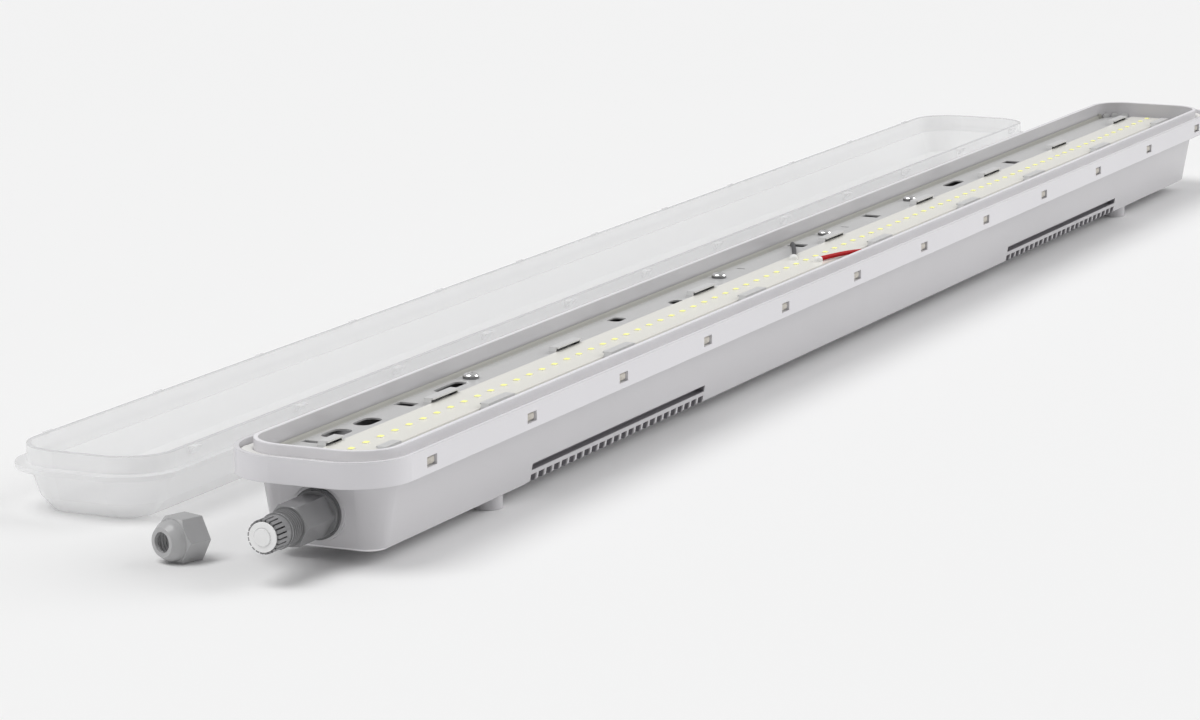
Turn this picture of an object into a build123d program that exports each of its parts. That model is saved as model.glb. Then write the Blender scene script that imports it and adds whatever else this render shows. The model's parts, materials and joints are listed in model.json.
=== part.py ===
from build123d import *
import math
import os

# LED tri-proof light with its diffuser and dome nut taken off.
# The housing lies on its back: +X along its length, +Z out of its open front.
# The origin is the middle of the four feet, on the plane that they stand on.

# Housing, outside
housing_length = 1194.0
housing_width = 82.0
skirt_corner = 28.0
skirt_height = 11.5
skirt_wall = 2.2
base_height = 31.9
base_side_step = 8.9
base_end_step = 18.0
base_corner = 14.3
base_draft = 5.25
base_edge_bevel = 1.2
housing_wall = 2.2

# Sealing groove and the wall inside it
groove_side_width = 4.6
groove_end_width = 9.0
groove_floor = 1.8
inner_wall = 2.0
inner_wall_corner = 19.7
inner_wall_rise = 2.9

# Feet with blind screw holes
foot_height = 6.3
foot_radius = 7.0
foot_spacing_x = 900.0
foot_spacing_y = 37.0
foot_hole_radius = 2.1
foot_hole_depth = 5.0

# Windows of the skirt and the catches of the diffuser share one pitch
catch_pitch = 100.0
catch_count = 12
window_length = 9.5
window_height = 4.6
window_drop = 6.2

# Grip zones for the mounting clips
grip_length = 199.0
grip_centre = 323.5
grip_slot_height = 3.2
grip_slot_depth = 5.0
grip_rail_height = 2.0
grip_comb_height = 4.1
grip_comb_depth = 4.0
grip_cells = 24
grip_rib = 2.0

# Gear tray
tray_thickness = 0.8
tray_seat_height = 36.0
tray_ledge = 2.5
tray_clearance = 0.5
tray_lip_run = 1.9
tray_lip_rise = 2.3
petal_width = 4.6
petal_rise = 3.2
petal_shoulder = 1.9
petal_tip_width = 2.3
petal_angles = (12, 34, 56, 78)

# LED board and its LEDs
board_length = 1161.0
board_width = 25.0
board_thickness = 1.0
led_count = 84
led_length = 3.5
led_width = 2.8
led_height = 0.7

# Raised tabs that hold the board, by their middles and lengths along X
tab_places = (
    (-538.0, 18.0), (-430.0, 30.0), (-296.0, 30.0), (-130.0, 30.0), (52.0, 30.0),
    (194.0, 30.0), (309.0, 30.0), (434.0, 30.0), (555.0, 28.0),
)
tab_reach = 0.8
tab_gap = 1.1
tab_back = 3.9
tab_ramp = 1.6
tab_board_gap = 0.1

# Holes of the tray's far side: middle X, middle Y, length along X, width along Y, corner
tray_holes = (
    (-535.6, 24.8, 4.2, 8.4, 0.4),
    (-515.0, 23.4, 19.0, 9.4, 4.5),
    (-487.4, 22.4, 18.0, 9.0, 4.4),
    (-445.8, 24.2, 7.6, 9.4, 0.6),
    (-402.0, 23.6, 26.0, 6.6, 3.2),
    (-215.3, 23.4, 11.0, 7.2, 2.6),
    (-158.0, 15.0, 12.0, 9.0, 4.4),
    (-53.4, 24.0, 1.6, 4.8, 0.4),
    (96.0, 23.6, 1.6, 4.8, 0.4),
    (135.2, 23.8, 1.6, 9.6, 0.4),
    (270.5, 22.9, 24.0, 6.6, 3.2),
    (361.5, 20.0, 1.8, 8.6, 0.4),
)

# Wire slots: one on each side of the board
wire_slot_x = 27.8
wire_slot_y = 24.4
wire_slot_length = 9.8
wire_slot_width = 3.2
wire_slot_corner = 1.5

# Screws of the tray and of the driver straps
screw_y = 23.7
tray_screw_x = (-380.0, 199.0)
strap_x = (-84.0, 66.0)
screw_radius = 1.7
screw_hole_radius = 1.9
screw_length = 9.0
pilot_spare = 2.0
head_radius = 3.7
head_height = 2.3
head_bevel = 1.1
boss_radius = 3.8

# Driver and its two straps under the tray
driver_length = 190.0
driver_width = 36.0
driver_height = 24.0
driver_corner = 3.0
driver_gap = 0.3
strap_width = 10.0
strap_thickness = 1.0
strap_foot = 9.0

# Push-in terminals on the board and the wires that end in them
terminal_length = 5.4
terminal_width = 4.2
terminal_height = 2.3
terminal_round = 1.0
terminal_x = -21.0
terminal_y = 7.0
wire_radius = 0.85
wire_hole_clearance = 0.03
wire_grip = 1.6
wire_bend = 3.2

# Mains terminal block and its three wires to the driver
block_x = -528.0
block_length = 24.0
block_width = 30.0
block_height = 17.0
block_corner = 1.5
block_pitch = 9.0
block_wire_height = 12.5
block_hole_radius = 2.4
block_hole_depth = 6.0
block_screw_radius = 2.0
block_screw_depth = 3.0

# Cable gland in the near end wall
gland_axis_height = 15.9
gland_boss_proud = 1.0
gland_boss_radius = 12.6
gland_pad_depth = 6.0
gland_pad_radius = 13.2
gland_spot_face = 9.0
gland_thread_radius = 8.0
gland_hole_clearance = 0.15
gland_bore_radius = 6.0
gland_tail_bore_radius = 5.0
gland_washer_radius = 11.4
gland_washer_thickness = 1.6
gland_collar_radius = 10.5
gland_collar_thickness = 1.6
gland_hex_flats = 17.4
gland_hex_length = 24.4
gland_thread_length = 9.6
gland_claw_length = 11.0
gland_claw_radius = 7.5
gland_claw_count = 21
gland_claw_slot = 0.7
gland_claw_slot_length = 7.0
gland_hex_bevel = 1.3
gland_tail_length = 11.5
locknut_flats = 22.0
locknut_thickness = 4.5
seal_radius = 5.9
seal_length = 20.0
seal_setback = 0.2
plug_radius = 4.3
plug_stem_length = 15.0
plug_head_radius = 6.5
plug_head_thickness = 1.0
plug_button_radius = 4.4
plug_button_height = 0.5

# Dome nut, lying on one of its flats beside the gland
nut_flats = 19.4
nut_hex_length = 12.4
nut_hex_bevel = 1.2
nut_dome_length = 5.8
nut_dome_radius = 9.2
nut_dome_shoulder = 2.6
nut_dome_shoulder_radius = 8.7
nut_mouth_edge_radius = 6.5
nut_mouth_radius = 4.6
nut_lip_thickness = 1.8
nut_bore_radius = 7.3
nut_x = -600.7
nut_y = 58.2
nut_turn = -19.0

# Diffuser, lying mouth up beside the housing
cover_wall = 2.0
cover_side_clearance = 0.3
cover_end_clearance = 2.5
cover_rim_height = 8.0
cover_flange_thickness = 2.3
cover_flange_inset = 0.6
cover_side_inset = 1.0
cover_side_height = 13.2
cover_side_draft = 4.7
cover_bevel_height = 6.8
cover_bevel_draft = 6.2
cover_x = 42.0
cover_y = 136.4
catch_overlap = 1.0
catch_length = 7.6
catch_tip_gap = 0.7
catch_height = 3.4
catch_foot = 0.8

# Gasket
gasket_thickness = 2.4
gasket_clearance = 0.15
gasket_lip_thickness = 0.8
gasket_lip_height = 8.0
gasket_lip_start = 560.0

# Small round forms that repeat are cut with this many sides, and small
# rounded corners with this many steps, so that the copies stay light
small_sides = 16
corner_steps = 3

# Cuts run past the faces that they open by this much
cut_past = 1.0

# Values worked out from the sizes above
base_bottom = foot_height
skirt_bottom = base_bottom + base_height
skirt_top = skirt_bottom + skirt_height
inner_top = skirt_top + inner_wall_rise
inner_length = housing_length - 2 * (skirt_wall + groove_end_width)
inner_width = housing_width - 2 * (skirt_wall + groove_side_width)
groove_bottom = skirt_bottom + groove_floor
base_top_length = housing_length - 2 * base_end_step
base_top_width = housing_width - 2 * base_side_step
pocket_length = inner_length - 2 * inner_wall
pocket_width = inner_width - 2 * inner_wall
pocket_corner = inner_wall_corner - inner_wall
tray_bottom = base_bottom + tray_seat_height
tray_top = tray_bottom + tray_thickness
board_top = tray_top + board_thickness
led_pitch = board_length / led_count
gland_z = base_bottom + gland_axis_height
window_z = skirt_top - window_drop
cover_length = inner_length + 2 * (cover_end_clearance + cover_wall)
cover_width = inner_width + 2 * (cover_side_clearance + cover_wall)
cover_corner = inner_wall_corner + cover_end_clearance + cover_wall


def base_inset(z):
    return base_draft * (skirt_bottom - z) / base_height


def rounded_block(length, width, corner, bottom, top):
    outline = Pos(0, 0, bottom) * RectangleRounded(length, width, corner)
    return extrude(outline, amount=top - bottom)


def drafted_block(length, width, corner, top, height, inset):
    plane = Plane(origin=(0, 0, top), z_dir=(0, 0, -1))
    outline = plane * RectangleRounded(length, width, corner)
    draft = math.degrees(math.atan2(inset, height))
    return extrude(outline, amount=height, taper=draft)


def tube_along_x(start, length, radius, z=0.0):
    plane = Plane(origin=(start, 0, z), z_dir=(1, 0, 0))
    return extrude(plane * Circle(radius), amount=length)


def small_tube_along_x(start, length, radius, y=0.0, z=0.0):
    plane = Plane(origin=(start, y, z), z_dir=(1, 0, 0))
    return extrude(plane * RegularPolygon(radius, small_sides), amount=length)


def small_post(x, y, bottom, radius, height):
    return extrude(Pos(x, y, bottom) * RegularPolygon(radius, small_sides), amount=height)


def stepped_rectangle(length, width, corner):
    points = []
    for x_side, y_side, start in ((1, 1, 0), (-1, 1, 90), (-1, -1, 180), (1, -1, 270)):
        for step in range(corner_steps + 1):
            angle = math.radians(start + 90 * step / corner_steps)
            x = x_side * (length / 2 - corner) + corner * math.cos(angle)
            y = y_side * (width / 2 - corner) + corner * math.sin(angle)
            points.append((x, y))
    return make_face(Polyline(*points, close=True))


def bevelled_hex(start, length, flats, bevel, z=0.0):
    # The corners of the end at the start are turned down to the flats
    corner = flats / math.sqrt(3)
    profile = Polyline(
        (start, 0), (start, flats / 2), (start + bevel, corner),
        (start + length, corner), (start + length, 0),
        close=True,
    )
    turned = revolve(make_face(profile), Axis.X)
    return Pos(0, 0, z) * (hex_along_x(start, length, flats) & turned)


def hex_along_x(start, length, flats, z=0.0):
    plane = Plane(origin=(start, 0, z), z_dir=(1, 0, 0))
    outline = plane * RegularPolygon(flats / 2, 6, major_radius=False, rotation=30)
    return extrude(outline, amount=length)


def box_between(x0, x1, y0, y1, z0, z1):
    middle = Pos((x0 + x1) / 2, (y0 + y1) / 2, (z0 + z1) / 2)
    return middle * Box(abs(x1 - x0), abs(y1 - y0), abs(z1 - z0))


def catch_positions():
    first = -catch_pitch * (catch_count - 1) / 2
    return [first + catch_pitch * i for i in range(catch_count)]


def foot_places():
    places = []
    for x in (-foot_spacing_x / 2, foot_spacing_x / 2):
        for y in (-foot_spacing_y / 2, foot_spacing_y / 2):
            places.append((x, y))
    return places


def end_wall_x():
    return -(base_top_length / 2 - base_inset(gland_z))


def through_tube(start, length, radius):
    # A cut on the gland's axis that runs past both ends
    return tube_along_x(start - cut_past, length + 2 * cut_past, radius, z=gland_z)


def gland_face_x():
    return end_wall_x() - gland_boss_proud


def gland_pad_x():
    return gland_face_x() + gland_pad_depth


def grip_places():
    return [(side, centre) for side in (-1, 1) for centre in (-grip_centre, grip_centre)]


def grip_recess(side, centre):
    slot_bottom = base_bottom + grip_comb_height + grip_rail_height
    slot_top = slot_bottom + grip_slot_height
    face = base_top_width / 2 - base_inset(slot_top)
    outer = face + base_draft
    start = centre - grip_length / 2
    end = centre + grip_length / 2
    slot_back = side * (face - grip_slot_depth)
    cuts = [box_between(start, end, slot_back, side * outer, slot_bottom, slot_top)]
    cell_pitch = (grip_length + grip_rib) / grip_cells
    comb_face = base_top_width / 2 - base_inset(base_bottom + grip_comb_height)
    for i in range(grip_cells):
        x0 = start + i * cell_pitch
        x1 = x0 + cell_pitch - grip_rib
        comb_back = side * (comb_face - grip_comb_depth)
        comb_top = base_bottom + grip_comb_height
        cuts.append(box_between(x0, x1, comb_back, side * outer, base_bottom - cut_past, comb_top))
    return cuts


def grip_backing(side, centre):
    slot_top = base_bottom + grip_comb_height + grip_rail_height + grip_slot_height
    face = base_top_width / 2 - base_inset(slot_top)
    half = grip_length / 2 + housing_wall
    back = side * (face - grip_slot_depth - housing_wall)
    outer = side * (base_top_width / 2)
    return box_between(centre - half, centre + half, back, outer, base_bottom, slot_top + housing_wall)


def housing_cavity():
    side_inset = base_inset(tray_bottom - tray_thickness) + housing_wall
    length = base_top_length - 2 * side_inset
    width = base_top_width - 2 * side_inset
    depth = tray_bottom - base_bottom - housing_wall
    inset = base_draft * depth / base_height
    cavity = drafted_block(length, width, base_corner - housing_wall, tray_bottom, depth, inset)
    kept = [grip_backing(side, centre) for side, centre in grip_places()]
    for x, y in tray_screw_places():
        kept.append(small_post(x, y, base_bottom, boss_radius, tray_bottom - base_bottom))
    kept.append(tube_along_x(end_wall_x(), gland_pad_x() - end_wall_x(), gland_pad_radius, z=gland_z))
    return cavity - kept


def make_housing():
    base = drafted_block(base_top_length, base_top_width, base_corner, skirt_bottom, base_height, base_draft)
    base = chamfer(base.edges().group_by(Axis.Z)[0], base_edge_bevel)
    groove = rounded_block(
        housing_length - 2 * skirt_wall,
        housing_width - 2 * skirt_wall,
        skirt_corner - skirt_wall,
        groove_bottom,
        skirt_top + cut_past,
    )
    skirt = rounded_block(housing_length, housing_width, skirt_corner, skirt_bottom, skirt_top) - groove
    wall = rounded_block(inner_length, inner_width, inner_wall_corner, skirt_bottom, inner_top)
    gland_boss = tube_along_x(gland_face_x(), housing_wall + gland_boss_proud, gland_boss_radius, z=gland_z)
    foot = extrude(Circle(foot_radius), amount=foot_height + housing_wall)
    feet = [Pos(x, y, 0) * foot for x, y in foot_places()]
    body = base + [skirt, wall, gland_boss] + feet
    cuts = [
        rounded_block(pocket_length, pocket_width, pocket_corner, tray_bottom, inner_top + cut_past),
        housing_cavity(),
    ]
    for side, centre in grip_places():
        cuts += grip_recess(side, centre)
    window_depth = 2 * skirt_wall
    for x in catch_positions():
        for y in (-housing_width / 2, housing_width / 2):
            cuts.append(Pos(x, y, window_z) * Box(window_length, window_depth, window_height))
    foot_hole = extrude(Circle(foot_hole_radius), amount=foot_hole_depth + cut_past)
    cuts += [Pos(x, y, -cut_past) * foot_hole for x, y in foot_places()]
    pilot_depth = screw_length + pilot_spare
    for x, y in tray_screw_places():
        cuts.append(small_post(x, y, tray_bottom - pilot_depth, screw_radius, pilot_depth))
    spot_start = gland_face_x() - gland_spot_face
    cuts.append(tube_along_x(spot_start, gland_spot_face, gland_boss_radius, z=gland_z))
    cuts.append(through_tube(gland_face_x(), gland_pad_depth, gland_thread_radius + gland_hole_clearance))
    return body - cuts


def groove_ring(outer_gap, ring_inner, bottom, top):
    outer = rounded_block(
        housing_length - 2 * (skirt_wall + outer_gap),
        housing_width - 2 * (skirt_wall + outer_gap),
        skirt_corner - skirt_wall - outer_gap,
        bottom,
        top,
    )
    return outer - ring_inner


def make_gasket():
    gap = gasket_clearance
    top = groove_bottom + gasket_thickness
    core = rounded_block(
        inner_length + 2 * gap, inner_width + 2 * gap, inner_wall_corner + gap, groove_bottom, top
    )
    strip = groove_ring(gap, core, groove_bottom, top)
    # Round the two ends a thin lip stands along the skirt, clear of the windows
    lip_inner = gap + gasket_lip_thickness
    lip_top = groove_bottom + gasket_lip_height
    lip_core = rounded_block(
        housing_length - 2 * (skirt_wall + lip_inner),
        housing_width - 2 * (skirt_wall + lip_inner),
        skirt_corner - skirt_wall - lip_inner,
        top,
        lip_top,
    )
    middle = box_between(
        -gasket_lip_start, gasket_lip_start, -housing_width, housing_width, top, lip_top
    )
    lips = groove_ring(gap, lip_core, top, lip_top) - middle
    return strip + lips


def tray_lip(side):
    run = pocket_width / 2 - tray_clearance
    foot = run - tray_lip_run
    slope = math.hypot(tray_lip_run, tray_lip_rise)
    across = tray_thickness * tray_lip_rise / slope
    drop = tray_thickness * tray_lip_run / slope
    profile = Polyline(
        (foot, tray_bottom),
        (foot + across, tray_bottom),
        (run, tray_top + tray_lip_rise - drop),
        (run - across, tray_top + tray_lip_rise),
        (foot, tray_top),
        close=True,
    )
    length = pocket_length - 2 * pocket_corner
    plane = Plane(origin=(-length / 2, 0, 0), x_dir=(0, side, 0), z_dir=(side, 0, 0))
    lip = extrude(plane * make_face(profile), amount=length * side)
    return lip


def corner_petal(x_side, y_side, angle):
    radius = pocket_corner - tray_clearance - tray_thickness
    cx = x_side * (pocket_length / 2 - pocket_corner)
    cy = y_side * (pocket_width / 2 - pocket_corner)
    half = petal_width / 2
    tip = petal_tip_width / 2
    outline = Polyline(
        (-half, 0), (half, 0), (half, petal_shoulder), (tip, petal_rise),
        (-tip, petal_rise), (-half, petal_shoulder),
        close=True,
    )
    standing = Rot(90, 90, 0) * extrude(make_face(outline), amount=tray_thickness)
    direction = math.degrees(math.atan2(y_side * math.sin(angle), x_side * math.cos(angle)))
    return Pos(cx, cy, tray_top - tray_thickness / 2) * Rot(0, 0, direction) * Pos(radius, 0, 0) * standing


def tab_span(side):
    edge = board_width / 2
    return side * (edge + tab_board_gap), side * (edge + tab_back)


def board_tab(x, length, side):
    # A bridge pressed up out of the sheet, with a strip that reaches over the board
    low = board_top + tab_gap
    high = low + tray_thickness
    half = length / 2
    profile = Polyline(
        (-half, tray_bottom), (-half, tray_top), (-half + tab_ramp, high), (half - tab_ramp, high),
        (half, tray_top), (half, tray_bottom), (half - tray_thickness, tray_bottom),
        (half - tab_ramp - tray_thickness / 2, low), (-half + tab_ramp + tray_thickness / 2, low),
        (-half + tray_thickness, tray_bottom),
        close=True,
    )
    near, far = tab_span(side)
    plane = Plane(origin=(x, max(near, far), 0), x_dir=(1, 0, 0), z_dir=(0, -1, 0))
    bridge = extrude(plane * make_face(profile), amount=abs(far - near))
    strip_end = side * (board_width / 2 - tab_reach)
    strip = box_between(x - half + tab_ramp, x + half - tab_ramp, strip_end, far, low, high)
    return bridge + strip


def tab_opening(x, length, side):
    near, far = tab_span(side)
    half = length / 2 - tray_thickness
    return box_between(x - half, x + half, near, far, tray_bottom - cut_past, tray_top + cut_past)


def tray_screw_places():
    return [(x, y) for x in tray_screw_x for y in (-screw_y, screw_y)]


def strap_screw_places():
    return [(x, y) for x in strap_x for y in (-screw_y, screw_y)]


def make_gear_tray():
    edge_gap = 2 * tray_clearance
    foot = 2 * tray_lip_run
    plate = rounded_block(
        pocket_length - edge_gap,
        pocket_width - edge_gap - foot,
        pocket_corner - tray_clearance - tray_lip_run,
        tray_bottom,
        tray_top,
    )
    corners = rounded_block(
        pocket_length - edge_gap,
        pocket_width - edge_gap,
        pocket_corner - tray_clearance,
        tray_bottom,
        tray_top,
    )
    straight = pocket_length / 2 - pocket_corner
    for x_side in (-1, 1):
        end = box_between(
            x_side * straight, x_side * pocket_length / 2,
            -pocket_width / 2, pocket_width / 2,
            tray_bottom, tray_top,
        )
        plate += corners & end
    for side in (-1, 1):
        plate += tray_lip(side)
    cuts = []
    tabs = []
    for x, length in tab_places:
        for side in (-1, 1):
            cuts.append(tab_opening(x, length, side))
            tabs.append(board_tab(x, length, side))
    under = tray_bottom - cut_past
    depth = tray_thickness + 2 * cut_past
    for x, y, length, width, corner in tray_holes:
        hole = extrude(Pos(x, y, under) * stepped_rectangle(length, width, corner), amount=depth)
        cuts.append(hole - board_keepout())
    slot = extrude(stepped_rectangle(wire_slot_width, wire_slot_length, wire_slot_corner), amount=depth)
    for side in (-1, 1):
        cuts.append(Pos(wire_slot_x, side * wire_slot_y, under) * slot)
    for x, y in tray_screw_places() + strap_screw_places():
        cuts.append(small_post(x, y, under, screw_hole_radius, depth))
    petals = []
    for x_side in (-1, 1):
        for y_side in (-1, 1):
            for angle in petal_angles:
                petals.append(corner_petal(x_side, y_side, math.radians(angle)))
    return plate - cuts + tabs + petals


def board_keepout():
    back = board_width / 2 - tab_reach
    return box_between(-board_length, board_length, -back, back, 0, inner_top)


def make_led_board():
    board = box_between(
        -board_length / 2, board_length / 2,
        -board_width / 2, board_width / 2,
        tray_top, board_top,
    )
    return board


def make_led_chips():
    first = -led_pitch * (led_count - 1) / 2
    chips = []
    for i in range(led_count):
        x = first + i * led_pitch
        chip = Pos(x, 0, board_top + led_height / 2) * Box(led_length, led_width, led_height)
        chips.append(chip)
    return Compound(children=chips)


def pan_screw():
    head = small_post(0, 0, 0, head_radius, head_height)
    head = chamfer(head.edges().group_by(Axis.Z)[-1], head_bevel)
    return head + small_post(0, 0, -screw_length, screw_radius, screw_length)


def make_pan_screws():
    screw = pan_screw()
    places = tray_screw_places() + strap_screw_places()
    return Compound(children=[Pos(x, y, tray_top) * screw for x, y in places])


def driver_middle():
    return sum(strap_x) / len(strap_x)


def make_led_driver():
    bottom = tray_bottom - driver_gap - driver_height
    body = Pos(driver_middle(), 0, 0) * rounded_block(
        driver_length, driver_width, driver_corner, bottom, bottom + driver_height
    )
    return body


def make_driver_strap(x):
    inside = driver_width / 2
    outside = inside + strap_thickness
    low = tray_bottom - driver_gap - driver_height
    foot = outside + strap_foot
    profile = Polyline(
        (-foot, tray_bottom),
        (-inside, tray_bottom),
        (-inside, low),
        (inside, low),
        (inside, tray_bottom),
        (foot, tray_bottom),
        (foot, tray_bottom - strap_thickness),
        (outside, tray_bottom - strap_thickness),
        (outside, low - strap_thickness),
        (-outside, low - strap_thickness),
        (-outside, tray_bottom - strap_thickness),
        (-foot, tray_bottom - strap_thickness),
        close=True,
    )
    plane = Plane(origin=(x - strap_width / 2, 0, 0), x_dir=(0, 1, 0), z_dir=(1, 0, 0))
    strap = extrude(plane * make_face(profile), amount=strap_width)
    under = tray_bottom - strap_thickness - cut_past
    depth = strap_thickness + 2 * cut_past
    return strap - [small_post(x, y, under, screw_radius, depth) for y in (-screw_y, screw_y)]


def terminal_wire_height():
    return board_top + terminal_height / 2


def terminal_turn(side):
    run = wire_slot_x - terminal_x
    rise = side * (wire_slot_y - terminal_y)
    return math.degrees(math.atan2(rise, run))


def make_board_terminal(side):
    body = Pos(0, 0, terminal_height / 2) * Box(terminal_length, terminal_width, terminal_height)
    body = fillet(body.edges().group_by(Axis.Z)[-1], terminal_round)
    reach = terminal_length / 2 - wire_grip
    hole = wire_radius + wire_hole_clearance
    body -= small_tube_along_x(reach, wire_grip + cut_past, hole, z=terminal_height / 2)
    return Pos(terminal_x, side * terminal_y, board_top) * Rot(0, 0, terminal_turn(side)) * body


def wire_solid(points, bends, radius):
    path = FilletPolyline(*points, radius=bends)
    section = Plane(origin=path @ 0, z_dir=path % 0) * RegularPolygon(radius, small_sides)
    return sweep(section, path=path)


def make_board_wire(side):
    turn = math.radians(terminal_turn(side))
    reach = terminal_length / 2 - wire_grip
    z = terminal_wire_height()
    start_x = terminal_x + reach * math.cos(turn)
    start_y = side * terminal_y + reach * math.sin(turn)
    low = tray_bottom - driver_height / 2
    points = (
        (start_x, start_y, z),
        (wire_slot_x, side * wire_slot_y, z),
        (wire_slot_x, side * wire_slot_y, low),
        (wire_slot_x, side * driver_width / 2, low),
    )
    return wire_solid(points, wire_bend, wire_radius)


def block_wire_z():
    return base_bottom + housing_wall + block_wire_height


def make_mains_block():
    floor = base_bottom + housing_wall
    block = rounded_block(block_length, block_width, block_corner, floor, floor + block_height)
    body = Pos(block_x, 0, 0) * block
    cuts = []
    for i in (-1, 0, 1):
        y = i * block_pitch
        cable_side = block_x - block_length / 2
        wire_side = block_x + block_length / 2
        cuts.append(small_tube_along_x(cable_side, block_hole_depth, block_hole_radius, y, block_wire_z()))
        wire_hole = wire_radius + wire_hole_clearance
        cuts.append(small_tube_along_x(wire_side - wire_grip, wire_grip, wire_hole, y, block_wire_z()))
        screw_bottom = floor + block_height - block_screw_depth
        cuts.append(small_post(block_x, y, screw_bottom, block_screw_radius, block_screw_depth))
    return body - cuts


def make_mains_wire(place):
    start = block_x + block_length / 2 - wire_grip
    end = driver_middle() - driver_length / 2
    return small_tube_along_x(start, end - start, wire_radius, place * block_pitch, block_wire_z())


def gland_collar_x():
    return gland_face_x() - gland_washer_thickness


def make_gland_washer():
    ring = tube_along_x(gland_collar_x(), gland_washer_thickness, gland_washer_radius, z=gland_z)
    return ring - through_tube(gland_collar_x(), gland_washer_thickness, gland_thread_radius)


def gland_hex_x():
    return gland_collar_x() - gland_collar_thickness - gland_hex_length


def gland_thread_x():
    return gland_hex_x() - gland_thread_length


def gland_front_x():
    return gland_thread_x() - gland_claw_length


def make_gland_body():
    collar_start = gland_collar_x() - gland_collar_thickness
    body = tube_along_x(collar_start, gland_collar_thickness, gland_collar_radius, z=gland_z)
    tail = tube_along_x(gland_collar_x(), gland_tail_length, gland_thread_radius, z=gland_z)
    hexagon = bevelled_hex(gland_hex_x(), gland_hex_length, gland_hex_flats, gland_hex_bevel, z=gland_z)
    thread = tube_along_x(gland_thread_x(), gland_thread_length, gland_thread_radius, z=gland_z)
    claws = tube_along_x(gland_front_x(), gland_claw_length, gland_claw_radius, z=gland_z)
    body = body + [tail, hexagon, thread, claws]
    total = gland_collar_x() + gland_tail_length - gland_front_x()
    cuts = [
        through_tube(gland_front_x(), seal_length, gland_bore_radius),
        through_tube(gland_front_x(), total, gland_tail_bore_radius),
    ]
    half_slot = gland_claw_slot / 2
    slot = box_between(0, gland_claw_slot_length, -half_slot, half_slot, 0, 2 * gland_claw_radius)
    for i in range(gland_claw_count):
        turn = 360 / gland_claw_count * (i + 0.5)
        cuts.append(Pos(gland_front_x(), 0, gland_z) * Rot(turn, 0, 0) * slot)
    return body - cuts


def make_gland_seal():
    start = gland_front_x() + seal_setback
    seal = tube_along_x(start, seal_length, seal_radius, z=gland_z)
    return seal - through_tube(start, seal_length, plug_radius)


def make_blanking_plug():
    front = gland_front_x()
    head = tube_along_x(front - plug_head_thickness, plug_head_thickness, plug_head_radius, z=gland_z)
    button_start = front - plug_head_thickness - plug_button_height
    button = tube_along_x(button_start, plug_button_height, plug_button_radius, z=gland_z)
    stem = tube_along_x(front, plug_stem_length, plug_radius, z=gland_z)
    return head + button + stem


def make_gland_locknut():
    start = gland_pad_x()
    nut = hex_along_x(start, locknut_thickness, locknut_flats, z=gland_z)
    return nut - through_tube(start, locknut_thickness, gland_thread_radius)


def make_dome_nut():
    front = -nut_dome_length
    dome_profile = Polyline(
        (front, 0), (front, nut_mouth_edge_radius), (-nut_dome_shoulder, nut_dome_shoulder_radius),
        (0, nut_dome_radius), (0, 0),
        close=True,
    )
    dome = revolve(make_face(dome_profile), Axis.X)
    nut = dome + bevelled_hex(0, nut_hex_length, nut_flats, nut_hex_bevel)
    throat = front + nut_lip_thickness
    before = front - cut_past
    behind = nut_hex_length + cut_past
    bore_profile = Polyline(
        (before, 0), (before, nut_mouth_radius), (throat, nut_mouth_radius),
        (throat + nut_bore_radius - nut_mouth_radius, nut_bore_radius),
        (behind, nut_bore_radius), (behind, 0),
        close=True,
    )
    nut -= revolve(make_face(bore_profile), Axis.X)
    return Pos(nut_x, nut_y, nut_flats / 2) * Rot(0, 0, nut_turn) * nut


def make_diffuser():
    crease = cover_bevel_height
    flange_bottom = crease + cover_side_height
    flange_top = flange_bottom + cover_flange_thickness
    tip = flange_top + cover_rim_height
    side_length = cover_length - 2 * cover_side_inset
    side_width = cover_width - 2 * cover_side_inset
    side_corner = cover_corner - cover_side_inset
    crease_length = side_length - 2 * cover_side_draft
    crease_width = side_width - 2 * cover_side_draft
    crease_corner = side_corner - cover_side_draft

    def shell(offset, bottom_lift):
        side = drafted_block(
            side_length - 2 * offset, side_width - 2 * offset, side_corner - offset,
            flange_bottom, cover_side_height, cover_side_draft,
        )
        bevel = drafted_block(
            crease_length - 2 * offset, crease_width - 2 * offset, crease_corner - offset,
            crease, cover_bevel_height - bottom_lift,
            cover_bevel_draft * (cover_bevel_height - bottom_lift) / cover_bevel_height,
        )
        return side + bevel

    body = shell(0, 0)
    body += rounded_block(
        housing_length - 2 * cover_flange_inset, housing_width - 2 * cover_flange_inset,
        skirt_corner - cover_flange_inset, flange_bottom, flange_top,
    )
    body += rounded_block(cover_length, cover_width, cover_corner, flange_top, tip)
    body -= shell(cover_wall, cover_wall)
    inner_corner = cover_corner - cover_wall
    mouth_length = cover_length - 2 * cover_wall
    mouth_width = cover_width - 2 * cover_wall
    body -= rounded_block(mouth_length, mouth_width, inner_corner, flange_bottom, tip + cut_past)
    reach = housing_width / 2 - skirt_wall + catch_overlap
    catches = []
    for x in catch_positions():
        for side in (-1, 1):
            top = tip - catch_tip_gap
            wedge = Polyline(
                (cover_width / 2 - cover_wall / 2, top),
                (reach, top),
                (cover_width / 2 + catch_foot, top - catch_height),
                (cover_width / 2 - cover_wall / 2, top - catch_height),
                close=True,
            )
            plane = Plane(origin=(x - side * catch_length / 2, 0, 0), x_dir=(0, side, 0), z_dir=(side, 0, 0))
            catches.append(extrude(plane * make_face(wedge), amount=catch_length))
    return Pos(cover_x, cover_y, 0) * (body + catches)


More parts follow.
